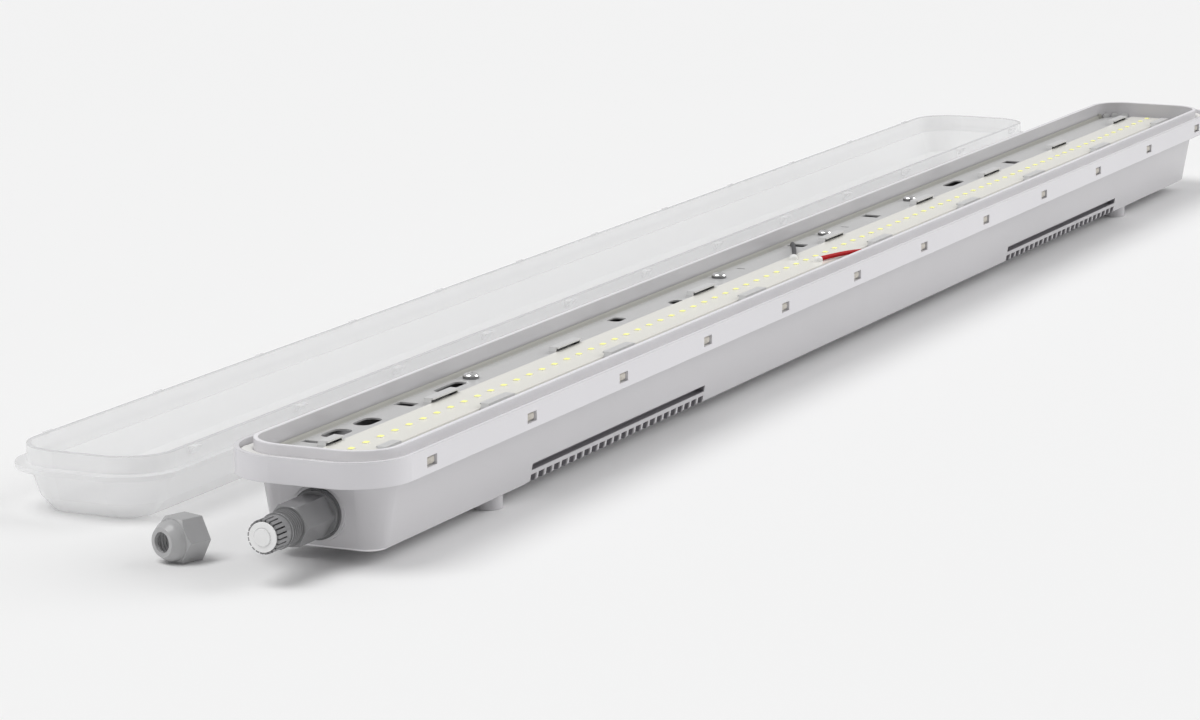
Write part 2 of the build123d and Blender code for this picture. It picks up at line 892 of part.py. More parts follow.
def build_parts():
    parts = {
        "housing": make_housing(),
        "gasket": make_gasket(),
        "gear_tray": make_gear_tray(),
        "led_board": make_led_board(),
        "led_chips": make_led_chips(),
        "pan_screws": make_pan_screws(),
        "led_driver": make_led_driver(),
        "driver_strap_near": make_driver_strap(strap_x[0]),
        "driver_strap_far": make_driver_strap(strap_x[1]),
        "board_terminal_dark": make_board_terminal(1),
        "board_terminal_red": make_board_terminal(-1),
        "wire_dark": make_board_wire(1),
        "wire_red": make_board_wire(-1),
        "mains_block": make_mains_block(),
        "wire_live": make_mains_wire(-1),
        "wire_earth": make_mains_wire(0),
        "wire_neutral": make_mains_wire(1),
        "gland_body": make_gland_body(),
        "gland_washer": make_gland_washer(),
        "gland_locknut": make_gland_locknut(),
        "gland_seal": make_gland_seal(),
        "blanking_plug": make_blanking_plug(),
        "dome_nut": make_dome_nut(),
        "diffuser": make_diffuser(),
    }
    return parts


def main():
    os.makedirs("parts", exist_ok=True)
    for name, shape in build_parts().items():
        export_step(shape, f"parts/{name}.step")
        print(name, round(shape.volume, 1))


main()
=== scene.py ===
import bmesh
import bpy
import json
import math
from mathutils import Matrix, Vector


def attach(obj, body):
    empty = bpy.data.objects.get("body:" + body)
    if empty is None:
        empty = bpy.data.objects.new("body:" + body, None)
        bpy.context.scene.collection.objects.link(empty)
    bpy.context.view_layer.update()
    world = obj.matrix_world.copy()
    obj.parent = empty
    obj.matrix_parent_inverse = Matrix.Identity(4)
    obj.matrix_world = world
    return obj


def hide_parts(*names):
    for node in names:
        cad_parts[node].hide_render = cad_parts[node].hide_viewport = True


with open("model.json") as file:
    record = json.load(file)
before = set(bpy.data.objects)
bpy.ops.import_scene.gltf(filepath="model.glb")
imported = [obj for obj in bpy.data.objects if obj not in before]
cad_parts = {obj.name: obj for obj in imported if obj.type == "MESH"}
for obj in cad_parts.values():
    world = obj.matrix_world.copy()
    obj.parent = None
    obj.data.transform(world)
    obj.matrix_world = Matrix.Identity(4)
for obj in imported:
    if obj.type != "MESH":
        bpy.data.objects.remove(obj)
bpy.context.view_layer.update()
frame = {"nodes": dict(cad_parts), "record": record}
NODES = frame["nodes"]

# The camera that took the photograph, solved from the housing's outlines
CAMERA_PLACE = Vector((-2.248903, -0.892168, 0.458027))
CAMERA_YAW = 0.426744
CAMERA_PITCH = 0.192843
CAMERA_LENS = 136.52

# Light: an even sky, a wide lamp overhead and softer ones from three sides.
# Each lamp has its name, where its light comes from, its level and its angle.
# Sky and lamps together light a face that looks up at about one.
SKY_LEVEL = 0.325
LAMPS = (
    ("overhead", (-0.34, 0.26, 0.90), 1.42, 40.0),
    ("near_side", (0.58, -0.66, 0.52), 1.28, 45.0),
    ("far_side", (0.0, 0.82, 0.57), 0.20, 70.0),
    ("far_end", (0.82, 0.0, 0.57), 0.16, 70.0),
)
FLOOR_COLOUR = (0.90, 0.90, 0.90)
FLOOR_HALF = 30.0
FLOOR_DROP = 0.00005

# Tones. Each factor multiplies the base colour at one place of the object, and was
# chosen by comparing the render with the photograph. Several stand in for light or
# shade in it that the lamps above don't give.
HOUSING_BASE = (0.645, 0.635, 0.652)
SKIRT_PAINTED_LIGHT_FACTOR = (1.20, 1.20, 1.21)
WALL_RIM_PAINTED_HIGHLIGHT = (1.22, 1.22, 1.22)
GRIP_PAINTED_SHADE_FACTOR = (0.40, 0.39, 0.41)
BOTTOM_EDGE_PAINTED_HIGHLIGHT = (1.7, 1.7, 1.7)
TAB_PAINTED_LIGHT_FACTOR = (1.15, 1.15, 1.15)
TAB_HOLLOW_PAINTED_SHADE = (0.12, 0.12, 0.12)
TRAY_SIDE_PAINTED_SHADE = (0.60, 0.59, 0.53)
SCREW_SIDE_PAINTED_REFLECTION = (0.30, 0.30, 0.31)
THREAD_ROOT_PAINTED_SHADE = (0.30, 0.30, 0.30)
PAD_PAINTED_SHADE = (0.66, 0.63, 0.58)
COVER_RIM_PAINTED_REFLECTION = (0.78, 0.78, 0.785)
COVER_GRAZING_FACTOR = (0.74, 0.74, 0.745)
PAINTED_PHOSPHOR_GLOW = 0.22

# Scale and depth of the grain of moulded plastic
GRAIN_SCALE = 1400.0
GRAIN_DEPTH = 0.00004

# How far the tapered wall of the housing leans out for each unit of height
WALL_TAPER = 0.16458

# Lengths below are in millimetres, as in the drawing of the part
MM = 0.001
BOARD_TOP = 44.1
TRAY_TOP = 43.1
BOARD_LENGTH = 1161.0
LED_COUNT = 84
LED_PITCH = BOARD_LENGTH / LED_COUNT
SCREW_PLACES = tuple((x, y) for x in (-380.0, -84.0, 66.0, 199.0) for y in (-23.7, 23.7))
GLAND_AXIS_Z = 22.2
GLAND_THREAD = (-614.6, -605.0)
GLAND_THREAD_OUTER = 8.0
GLAND_THREAD_ROOT = 6.8
GLAND_FRONT = -625.6
NUT_PLACE = (-600.7, 58.2, 9.7)
NUT_TURN = math.radians(-19.0)
FIRST_WINDOW = -550.0
WINDOW_PITCH = 100.0
WINDOWS_PER_SIDE = 12
WIRE_SLEEVE_RADIUS = 1.2
# Length, width and corner radius of the bead's outer and inner outline
BEAD_OUTER = (1189.6, 77.6, 25.8)
BEAD_INNER = (1171.6, 68.4, 19.7)
# Middle along X and length of each pair of tabs
TAB_PLACES = (
    (-538, 18), (-430, 30), (-296, 30), (-130, 30), (52, 30),
    (194, 30), (309, 30), (434, 30), (555, 28),
)

# Sides of a round wire, steps between its knots, and sides of one turn of thread
TUBE_SIDES = 18
TUBE_STEPS = 8
THREAD_SIDES = 64


# Small helpers for node trees

def new_material(name):
    material = bpy.data.materials.new(name)
    material.use_nodes = True
    tree = material.node_tree
    return material, tree, tree.nodes["Principled BSDF"]


def noise(tree, coords, scale, detail=2.0):
    node = tree.nodes.new("ShaderNodeTexNoise")
    node.inputs["Scale"].default_value = scale
    node.inputs["Detail"].default_value = detail
    tree.links.new(coords, node.inputs["Vector"])
    return node.outputs["Fac"]


def object_coords(tree):
    return tree.nodes.new("ShaderNodeTexCoord").outputs["Object"]


def ramp(tree, value, stops):
    node = tree.nodes.new("ShaderNodeValToRGB")
    elements = node.color_ramp.elements
    while len(elements) < len(stops):
        elements.new(0.5)
    for element, (place, colour) in zip(elements, stops):
        element.position = place
        element.color = (*colour, 1.0)
    tree.links.new(value, node.inputs["Fac"])
    return node.outputs["Color"]


def bump(tree, height, strength, distance):
    node = tree.nodes.new("ShaderNodeBump")
    node.inputs["Strength"].default_value = strength
    node.inputs["Distance"].default_value = distance
    tree.links.new(height, node.inputs["Height"])
    return node.outputs["Normal"]


def shade(colour, factor):
    return tuple(min(1.0, c * factor) for c in colour)


def mottled(tree, shader, colour, spread, scale):
    coords = object_coords(tree)
    value = noise(tree, coords, scale, detail=3.0)
    mixed = ramp(tree, value, ((0.3, shade(colour, 1 - spread)), (0.7, shade(colour, 1 + spread))))
    tree.links.new(mixed, shader.inputs["Base Color"])
    return coords


def grained_plastic(name, colour, roughness, spread=0.02, scale=9.0):
    """Moulded plastic: a faint cloudy colour and a fine spark-eroded grain."""
    material, tree, shader = new_material(name)
    coords = mottled(tree, shader, colour, spread, scale)
    shader.inputs["Roughness"].default_value = roughness
    shader.inputs["IOR"].default_value = 1.46
    fine = noise(tree, coords, GRAIN_SCALE)
    tree.links.new(bump(tree, fine, 0.35, GRAIN_DEPTH), shader.inputs["Normal"])
    return material


def painted_sheet(name, colour):
    """Powder coat: slight orange peel over flat sheet."""
    material, tree, shader = new_material(name)
    coords = mottled(tree, shader, colour, 0.015, 14.0)
    shader.inputs["Roughness"].default_value = 0.32
    shader.inputs["IOR"].default_value = 1.5
    peel = noise(tree, coords, 520.0, detail=1.0)
    tree.links.new(bump(tree, peel, 0.30, 0.00005), shader.inputs["Normal"])
    return material


def screw_zinc(name):
    """Zinc plate. The sides of the heads and the shanks are painted darker, a painted dark
    reflection.
    """
    material = zinc(name, (0.86, 0.86, 0.86), 0.20)
    tree = material.node_tree
    shader = tree.nodes["Principled BSDF"]
    # Painted reflection: below the dome the zinc is painted darker
    sides = band_mask(tree, object_coords(tree), "Z", 0.0446, 0.0441)
    tinted(tree, shader, sides, SCREW_SIDE_PAINTED_REFLECTION)
    return material


def zinc(name, colour, roughness=0.28):
    material, tree, shader = new_material(name)
    coords = mottled(tree, shader, colour, 0.06, 160.0)
    shader.inputs["Metallic"].default_value = 1.0
    shader.inputs["Roughness"].default_value = roughness
    fine = noise(tree, coords, 900.0, detail=3.0)
    tree.links.new(bump(tree, fine, 0.2, 0.00003), shader.inputs["Normal"])
    return material


def rubber(name, colour, roughness=0.75):
    material, tree, shader = new_material(name)
    coords = mottled(tree, shader, colour, 0.08, 60.0)
    shader.inputs["Roughness"].default_value = roughness
    fine = noise(tree, coords, 700.0, detail=4.0)
    tree.links.new(bump(tree, fine, 0.4, 0.00006), shader.inputs["Normal"])
    return material


def foam(name):
    """Cream foam. Its swells in the windows are painted darker: painted shade."""
    material = rubber(name, (0.90, 0.895, 0.87))
    tree = material.node_tree
    shader = tree.nodes["Principled BSDF"]
    swells = band_mask(tree, object_coords(tree), "Y", 0.0388, 0.0389)
    tinted(tree, shader, swells, PAD_PAINTED_SHADE)
    return material


def wire_sleeve(name, colour):
    material, tree, shader = new_material(name)
    coords = mottled(tree, shader, colour, 0.06, 120.0)
    shader.inputs["Roughness"].default_value = 0.5
    shader.inputs["Specular IOR Level"].default_value = 0.2
    fine = noise(tree, coords, 500.0, detail=2.0)
    tree.links.new(bump(tree, fine, 0.15, 0.00004), shader.inputs["Normal"])
    return material


def striped_sleeve(name, ground, stripe):
    """Earth sleeve: two colours that wind round the wire."""
    material, tree, shader = new_material(name)
    coords = object_coords(tree)
    wave = tree.nodes.new("ShaderNodeTexWave")
    wave.bands_direction = "DIAGONAL"
    wave.inputs["Scale"].default_value = 38.0
    tree.links.new(coords, wave.inputs["Vector"])
    colour = ramp(tree, wave.outputs["Fac"], ((0.48, ground), (0.52, stripe)))
    tree.links.new(colour, shader.inputs["Base Color"])
    shader.inputs["Roughness"].default_value = 0.35
    return material


def milky_cover(name):
    """Milky clear plastic, more opaque where it is seen at a grazing angle."""
    material, tree, shader = new_material(name)
    coords = mottled(tree, shader, (0.965, 0.965, 0.97), 0.005, 5.0)
    shader.inputs["Roughness"].default_value = 0.16
    shader.inputs["IOR"].default_value = 1.47
    facing = tree.nodes.new("ShaderNodeLayerWeight")
    facing.inputs["Blend"].default_value = 0.35
    alpha = ramp(tree, facing.outputs["Facing"], (
        (0.0, (0.31,) * 3), (0.75, (0.56,) * 3), (1.0, (0.92,) * 3),
    ))
    tree.links.new(alpha, shader.inputs["Alpha"])
    # Toned greyer where it is seen at a grazing angle
    grazing = tree.nodes.new("ShaderNodeMapRange")
    grazing.inputs["From Min"].default_value = 0.62
    grazing.inputs["From Max"].default_value = 0.95
    tree.links.new(facing.outputs["Facing"], grazing.inputs["Value"])
    tinted(tree, shader, grazing.outputs["Result"], COVER_GRAZING_FACTOR)
    # The rim is painted greyer too, a painted dark reflection
    tinted(tree, shader, band_mask(tree, coords, "Z", 0.0298, 0.0301), COVER_RIM_PAINTED_REFLECTION)
    stretch = tree.nodes.new("ShaderNodeMapping")
    stretch.inputs["Scale"].default_value = (2.0, 60.0, 60.0)
    tree.links.new(coords, stretch.inputs["Vector"])
    flow = noise(tree, stretch.outputs["Vector"], 3.0, detail=3.0)
    tree.links.new(bump(tree, flow, 0.10, 0.0003), shader.inputs["Normal"])
    return material


def board_mask(name):
    """Cream solder mask, faintly cloudy."""
    material, tree, shader = new_material(name)
    coords = mottled(tree, shader, (0.88, 0.868, 0.81), 0.01, 30.0)
    shader.inputs["Roughness"].default_value = 0.25
    fine = noise(tree, coords, 600.0, detail=1.0)
    tree.links.new(bump(tree, fine, 0.15, 0.00003), shader.inputs["Normal"])
    return material


def phosphor(name):
    """Silicone over yellow phosphor. The lamp is off: a weak painted glow only lifts the yellow."""
    material, tree, shader = new_material(name)
    coords = mottled(tree, shader, (0.97, 0.98, 0.34), 0.03, 300.0)
    shader.inputs["Roughness"].default_value = 0.25
    shader.inputs["Emission Color"].default_value = (1.0, 0.97, 0.25, 1.0)
    shader.inputs["Emission Strength"].default_value = PAINTED_PHOSPHOR_GLOW
    fine = noise(tree, coords, 2500.0, detail=1.0)
    tree.links.new(bump(tree, fine, 0.2, 0.00003), shader.inputs["Normal"])
    return material


def band_mask(tree, coords, axis, start, end):
    """Goes from 0 to 1 as the distance from the middle along one axis goes from start to end."""
    split = tree.nodes.new("ShaderNodeSeparateXYZ")
    tree.links.new(coords, split.inputs[0])
    away = tree.nodes.new("ShaderNodeMath")
    away.operation = "ABSOLUTE"
    tree.links.new(split.outputs[axis], away.inputs[0])
    span = tree.nodes.new("ShaderNodeMapRange")
    span.inputs["From Min"].default_value = start
    span.inputs["From Max"].default_value = end
    tree.links.new(away.outputs[0], span.inputs["Value"])
    return span.outputs["Result"]


def multiplied(tree, first, second):
    node = tree.nodes.new("ShaderNodeMath")
    node.operation = "MULTIPLY"
    tree.links.new(first, node.inputs[0])
    tree.links.new(second, node.inputs[1])
    return node.outputs[0]


def tinted(tree, shader, mask, factor):
    """Multiplies the base colour by factor where the mask is 1."""
    source = shader.inputs["Base Color"].links[0].from_socket
    mix = tree.nodes.new("ShaderNodeMix")
    mix.data_type = "RGBA"
    mix.blend_type = "MULTIPLY"
    mix.inputs[7].default_value = (*factor, 1.0)
    tree.links.new(mask, mix.inputs[0])
    tree.links.new(source, mix.inputs[6])
    tree.links.new(mix.outputs[2], shader.inputs["Base Color"])


def rounded_edges(tree, shader, radius):
    """Edges shade as if they were rounded to a small radius."""
    edge = tree.nodes.new("ShaderNodeBevel")
    edge.samples = 4
    edge.inputs["Radius"].default_value = radius
    for link in shader.inputs["Normal"].links:
        if link.from_node.type == "BUMP":
            tree.links.new(edge.outputs["Normal"], link.from_node.inputs["Normal"])
            return
    tree.links.new(edge.outputs["Normal"], shader.inputs["Normal"])


def housing_plastic(name):
    """Grey moulding. Painted light on the skirt, the wall rims and the bottom edge; painted shade
    at the grip zones.
    """
    material = grained_plastic(name, HOUSING_BASE, 0.27)
    tree = material.node_tree
    shader = tree.nodes["Principled BSDF"]
    coords = object_coords(tree)
    # Faces that look outwards have a normal that points away from the middle of the lamp
    normal = tree.nodes.new("ShaderNodeTexCoord")
    level = tree.nodes.new("ShaderNodeVectorMath")
    level.operation = "MULTIPLY"
    level.inputs[1].default_value = (1.0, 1.0, 0.0)
    tree.links.new(coords, level.inputs[0])
    outward = tree.nodes.new("ShaderNodeVectorMath")
    outward.operation = "DOT_PRODUCT"
    tree.links.new(level.outputs[0], outward.inputs[0])
    tree.links.new(normal.outputs["Normal"], outward.inputs[1])
    facing = tree.nodes.new("ShaderNodeMapRange")
    facing.inputs["From Min"].default_value = -0.004
    facing.inputs["From Max"].default_value = -0.001
    tree.links.new(outward.outputs["Value"], facing.inputs["Value"])
    # Painted light: the outward faces above the base, the skirt's, are painted paler than the base
    upper = band_mask(tree, coords, "Z", 0.0380, 0.0381)
    skirt = multiplied(tree, facing.outputs["Result"], upper)
    tinted(tree, shader, skirt, SKIRT_PAINTED_LIGHT_FACTOR)
    # Painted highlight: the rims of both walls are painted paler
    tinted(tree, shader, band_mask(tree, coords, "Z", 0.0522, 0.0524), WALL_RIM_PAINTED_HIGHLIGHT)
    # Painted shade: what lies inside the face of the tapered wall at the height of the
    # grip zones is painted darker, which takes in the hidden inside of the trough
    split = tree.nodes.new("ShaderNodeSeparateXYZ")
    tree.links.new(coords, split.inputs[0])
    side = tree.nodes.new("ShaderNodeMath")
    side.operation = "ABSOLUTE"
    tree.links.new(split.outputs["Y"], side.inputs[0])
    depth = tree.nodes.new("ShaderNodeMath")
    depth.operation = "MULTIPLY_ADD"
    depth.inputs[1].default_value = -WALL_TAPER
    tree.links.new(split.outputs["Z"], depth.inputs[0])
    tree.links.new(side.outputs[0], depth.inputs[2])
    inside = tree.nodes.new("ShaderNodeMapRange")
    inside.inputs["From Min"].default_value = 0.0255
    inside.inputs["From Max"].default_value = 0.0249
    tree.links.new(depth.outputs[0], inside.inputs["Value"])
    low = multiplied(tree, inside.outputs["Result"], band_mask(tree, coords, "Z", 0.0158, 0.0157))
    above = multiplied(tree, low, band_mask(tree, coords, "Z", 0.0064, 0.0066))
    grip_shade_zone = multiplied(tree, above, band_mask(tree, coords, "X", 0.4270, 0.4260))
    tinted(tree, shader, grip_shade_zone, GRIP_PAINTED_SHADE_FACTOR)
    # Painted highlight: the bottom edge is painted paler beyond the grip zones
    over = band_mask(tree, coords, "Z", 0.0064, 0.0066)
    edge = multiplied(tree, over, band_mask(tree, coords, "Z", 0.0076, 0.0072))
    rim = multiplied(tree, edge, band_mask(tree, coords, "X", 0.4270, 0.4275))
    tinted(tree, shader, rim, BOTTOM_EDGE_PAINTED_HIGHLIGHT)
    rounded_edges(tree, shader, 0.0005)
    return material


def gland_plastic(name):
    """Dark grey moulding. The root of its thread is painted darker: painted shade."""
    material = grained_plastic(name, (0.245, 0.245, 0.25), 0.18, 0.03, 60.0)
    tree = material.node_tree
    shader = tree.nodes["Principled BSDF"]
    coords = object_coords(tree)
    centred = tree.nodes.new("ShaderNodeVectorMath")
    centred.operation = "SUBTRACT"
    centred.inputs[1].default_value = (0.0, 0.0, GLAND_AXIS_Z * MM)
    tree.links.new(coords, centred.inputs[0])
    across = tree.nodes.new("ShaderNodeVectorMath")
    across.operation = "MULTIPLY"
    across.inputs[1].default_value = (0.0, 1.0, 1.0)
    tree.links.new(centred.outputs[0], across.inputs[0])
    radius = tree.nodes.new("ShaderNodeVectorMath")
    radius.operation = "LENGTH"
    tree.links.new(across.outputs[0], radius.inputs[0])
    deep = tree.nodes.new("ShaderNodeMapRange")
    deep.inputs["From Min"].default_value = 0.0077
    deep.inputs["From Max"].default_value = 0.0070
    tree.links.new(radius.outputs["Value"], deep.inputs["Value"])
    low, high = GLAND_THREAD
    started = band_mask(tree, coords, "X", -high * MM, -high * MM + 0.0002)
    after = multiplied(tree, deep.outputs["Result"], started)
    ended = band_mask(tree, coords, "X", -low * MM - 0.0012, -low * MM - 0.0014)
    root = multiplied(tree, after, ended)
    # Painted shade: the root of the thread is painted darker
    tinted(tree, shader, root, THREAD_ROOT_PAINTED_SHADE)
    return material


def tray_paint(name):
    """White powder coat, with painted light on the tabs and painted shade in their hollows and on
    the turned-up sides.
    """
    material = painted_sheet(name, (0.57, 0.57, 0.57))
    tree = material.node_tree
    shader = tree.nodes["Principled BSDF"]
    coords = object_coords(tree)
    # Painted light: the lifted tabs, above the sheet, are painted paler
    tinted(tree, shader, band_mask(tree, coords, "Z", 0.0444, 0.0446), TAB_PAINTED_LIGHT_FACTOR)
    # Painted shade: the turned-up sides of the tray are painted darker and warmer
    tinted(tree, shader, band_mask(tree, coords, "Y", 0.0296, 0.0301), TRAY_SIDE_PAINTED_SHADE)
    # Painted shade: the hollows of the tabs are painted dark
    from_board = band_mask(tree, coords, "Y", 0.0157, 0.0158)
    web = multiplied(tree, from_board, band_mask(tree, coords, "Y", 0.0161, 0.0160))
    hollow = multiplied(tree, web, band_mask(tree, coords, "Z", 0.0456, 0.0455))
    upper = multiplied(tree, hollow, band_mask(tree, coords, "Z", 0.0431, 0.0432))
    normal = tree.nodes.new("ShaderNodeTexCoord").outputs["Normal"]
    inner = multiplied(tree, upper, band_mask(tree, normal, "X", 0.3, 0.2))
    tinted(tree, shader, inner, TAB_HOLLOW_PAINTED_SHADE)
    return material


MATERIALS = {
    "housing_plastic": housing_plastic("housing_plastic"),
    "gasket_foam": foam("gasket_foam"),
    "tray_paint": tray_paint("tray_paint"),
    "board_mask": board_mask("board_mask"),
    "led_phosphor": phosphor("led_phosphor"),
    "screw_zinc": screw_zinc("screw_zinc"),
    "driver_case": grained_plastic("driver_case", (0.80, 0.80, 0.78), 0.5),
    "strap_zinc": zinc("strap_zinc", (0.62, 0.63, 0.64), 0.35),
    "terminal_white": grained_plastic("terminal_white", (0.94, 0.94, 0.93), 0.2),
    "wire_dark_sleeve": wire_sleeve("wire_dark_sleeve", (0.085, 0.085, 0.09)),
    "wire_red_sleeve": wire_sleeve("wire_red_sleeve", (0.50, 0.002, 0.006)),
    "block_white": grained_plastic("block_white", (0.78, 0.78, 0.75), 0.4),
    "wire_brown_sleeve": wire_sleeve("wire_brown_sleeve", (0.12, 0.045, 0.02)),
    "wire_blue_sleeve": wire_sleeve("wire_blue_sleeve", (0.03, 0.09, 0.42)),
    "wire_green_sleeve": striped_sleeve(
        "wire_green_sleeve", (0.03, 0.22, 0.03), (0.75, 0.62, 0.05)),
    "gland_plastic": gland_plastic("gland_plastic"),
    "washer_rubber": rubber("washer_rubber", (0.14, 0.14, 0.145), 0.5),
    "seal_rubber": rubber("seal_rubber", (0.08, 0.08, 0.085)),
    "plug_white": grained_plastic("plug_white", (0.93, 0.93, 0.93), 0.4, 0.02, 90.0),
    "nut_plastic": grained_plastic("nut_plastic", (0.50, 0.50, 0.505), 0.20, 0.03, 60.0),
    "diffuser_milky": milky_cover("diffuser_milky"),
    # Painted light: the nut's thread is the nut's own plastic, painted much paler than the nut
    "nut_thread": grained_plastic("nut_thread", (0.84, 0.84, 0.845), 0.3, 0.03, 60.0),
    "led_package": grained_plastic("led_package", (0.84, 0.82, 0.72), 0.35, 0.01, 300.0),
}


def dress_nodes():
    slots = {row["node"]: row["material_slot"] for row in frame["record"]["subparts"]}
    for name, node in NODES.items():
        node.data.materials.clear()
        node.data.materials.append(MATERIALS[slots[name]])


# Mesh building: a shape is a list of points and a list of faces

def joined(shapes):
    points, faces = [], []
    for more_points, more_faces in shapes:
        first = len(points)
        points += more_points
        faces += [tuple(first + i for i in face) for face in more_faces]
    return points, faces


def moved(shape, matrix):
    return [tuple(matrix @ Vector(p)) for p in shape[0]], shape[1]


def lofted(loops, cap_first=True, cap_last=True):
    """Skins loops of equal length, one above the other."""
    count = len(loops[0])
    points = [p for loop in loops for p in loop]
    faces = []
    for row in range(len(loops) - 1):
        for i in range(count):
            j = (i + 1) % count
            a, b = row * count, (row + 1) * count
            faces.append((a + i, a + j, b + j, b + i))
    if cap_first:
        faces.append(tuple(reversed(range(count))))
    if cap_last:
        faces.append(tuple(range(len(points) - count, len(points))))
    return points, faces


def ring(radius, z, sides):
    step = 2 * math.pi / sides
    return [(radius * math.cos(i * step), radius * math.sin(i * step), z) for i in range(sides)]


def rounded_loop(length, width, corner, z, steps=4):
    loop = []
    for x_side, y_side, start in ((1, 1, 0), (-1, 1, 90), (-1, -1, 180), (1, -1, 270)):
        for step in range(steps + 1):
            angle = math.radians(start + 90 * step / steps)
            x = x_side * (length / 2 - corner) + corner * math.cos(angle)
            y = y_side * (width / 2 - corner) + corner * math.sin(angle)
            loop.append((x, y, z))
    return loop


def mesh_object(name, shape, smooth_angle=35.0):
    mesh = bpy.data.meshes.new(name)
    mesh.from_pydata([Vector(p) * MM for p in shape[0]], [], shape[1])
    mesh.shade_smooth()
    mesh.set_sharp_from_angle(angle=math.radians(smooth_angle))
    thing = bpy.data.objects.new(name, mesh)
    bpy.context.scene.collection.objects.link(thing)
    return thing


def finish_piece(piece, material, nodes):
    piece.data.materials.clear()
    piece.data.materials.append(MATERIALS[material])
    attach(piece, "root")
    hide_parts(*nodes)


def led_places():
    first = -LED_PITCH * (LED_COUNT - 1) / 2
    return [Matrix.Translation((first + LED_PITCH * i, 0, BOARD_TOP)) for i in range(LED_COUNT)]


def make_leds():
    package = lofted([
        rounded_loop(3.5, 2.8, 0.15, 0.0),
        rounded_loop(3.5, 2.8, 0.15, 0.24),
        rounded_loop(3.36, 2.66, 0.12, 0.32),
    ])
    dome = lofted([
        rounded_loop(3.2, 2.5, 0.5, 0.30),
        rounded_loop(3.16, 2.46, 0.5, 0.46),
        rounded_loop(2.9, 2.2, 0.5, 0.60),
        rounded_loop(2.2, 1.6, 0.45, 0.68),
        rounded_loop(1.0, 0.8, 0.25, 0.70),
    ], cap_first=False)
    places = led_places()
    packages = mesh_object("led_packages", joined([moved(package, m) for m in places]))
    finish_piece(packages, "led_package", ["led_chips"])
    domes = mesh_object("led_domes", joined([moved(dome, m) for m in places]))
    finish_piece(domes, "led_phosphor", ["led_chips"])


def carved(shape, tool_shape):
    """The shape with the tool cut out of it."""
    body = mesh_object("carve_body", shape)
    tool = mesh_object("carve_tool", tool_shape)
    carve = body.modifiers.new("carve", "BOOLEAN")
    carve.operation = "DIFFERENCE"
    carve.object = tool
    carve.solver = "EXACT"
    bpy.context.view_layer.update()
    carved_body = body.evaluated_get(bpy.context.evaluated_depsgraph_get())
    mesh = bpy.data.meshes.new_from_object(carved_body)
    points = [tuple(v.co / MM) for v in mesh.vertices]
    faces = [tuple(f.vertices) for f in mesh.polygons]
    for thing in (body, tool):
        bpy.data.objects.remove(thing)
    return points, faces


def cross_prism():
    """A cross that narrows downwards, to cut the recess of a screw."""
    loops = []
    for reach, half, z in ((1.7, 0.32, 3.5), (0.7, 0.22, 1.7)):
        loop = []
        for turn in range(4):
            c, s = math.cos(turn * math.pi / 2), math.sin(turn * math.pi / 2)
            for x, y in ((reach, -half), (reach, half), (half, half)):
                loop.append((c * x - s * y, s * x + c * y, z))
        loops.append(loop)
    return lofted(list(reversed(loops)))


def make_screws():
    """Pan heads with a cross recess over their shanks."""
    # Radius and height of each ring, from the end of the shank to the top of the head
    rings = (
        (1.7, -9.0), (1.7, 0.0), (3.8, 0.0), (3.9, 0.15), (3.9, 1.0), (3.8, 1.45),
        (3.55, 1.85), (3.1, 2.25), (2.5, 2.55), (1.7, 2.78), (0.8, 2.9),
    )
    points, faces = carved(lofted([ring(r, z, 56) for r, z in rings]), cross_prism())
    shapes = []
    for i, (x, y) in enumerate(SCREW_PLACES):
        turn = Matrix.Rotation(math.radians(25 + 37 * i), 4, "Z")
        shapes.append(moved((points, faces), Matrix.Translation((x, y, TRAY_TOP)) @ turn))
    screws = mesh_object("pan_head_screws", joined(shapes), 28.0)
    finish_piece(screws, "screw_zinc", ["pan_screws"])


def thread_ridge(start, end, pitch, root, crest, root_half, crest_half):
    """One helical ridge along X. It stands outwards where crest is more than root."""
    turns = (end - start) / pitch
    steps = int(turns * THREAD_SIDES)
    rows = []
    for i in range(steps + 1):
        x = start + (end - start) * i / steps
        angle = 2 * math.pi * turns * i / steps
        fade = min(1.0, i / (THREAD_SIDES / 3), (steps - i) / (THREAD_SIDES / 3))
        top = root + (crest - root) * fade
        row = []
        for dx, r in ((-root_half, root), (-crest_half, top), (crest_half, top), (root_half, root)):
            row.append((x + dx, r * math.cos(angle), r * math.sin(angle)))
        rows.append(row)
    points = [p for row in rows for p in row]
    faces = []
    for i in range(steps):
        a, b = 4 * i, 4 * (i + 1)
        for k in range(4):
            n = (k + 1) % 4
            faces.append((a + k, a + n, b + n, b + k))
    faces += [(3, 2, 1, 0), tuple(4 * steps + k for k in range(4))]
    return points, faces


def copy_of_node(node_name):
    """A merged copy of a CAD node's mesh, as points and faces in millimetres."""
    work = bmesh.new()
    work.from_mesh(NODES[node_name].data)
    bmesh.ops.remove_doubles(work, verts=work.verts, dist=0.000002)
    work.verts.index_update()
    points = [tuple(v.co / MM) for v in work.verts]
    faces = [tuple(v.index for v in f.verts) for f in work.faces]
    work.free()
    return points, faces


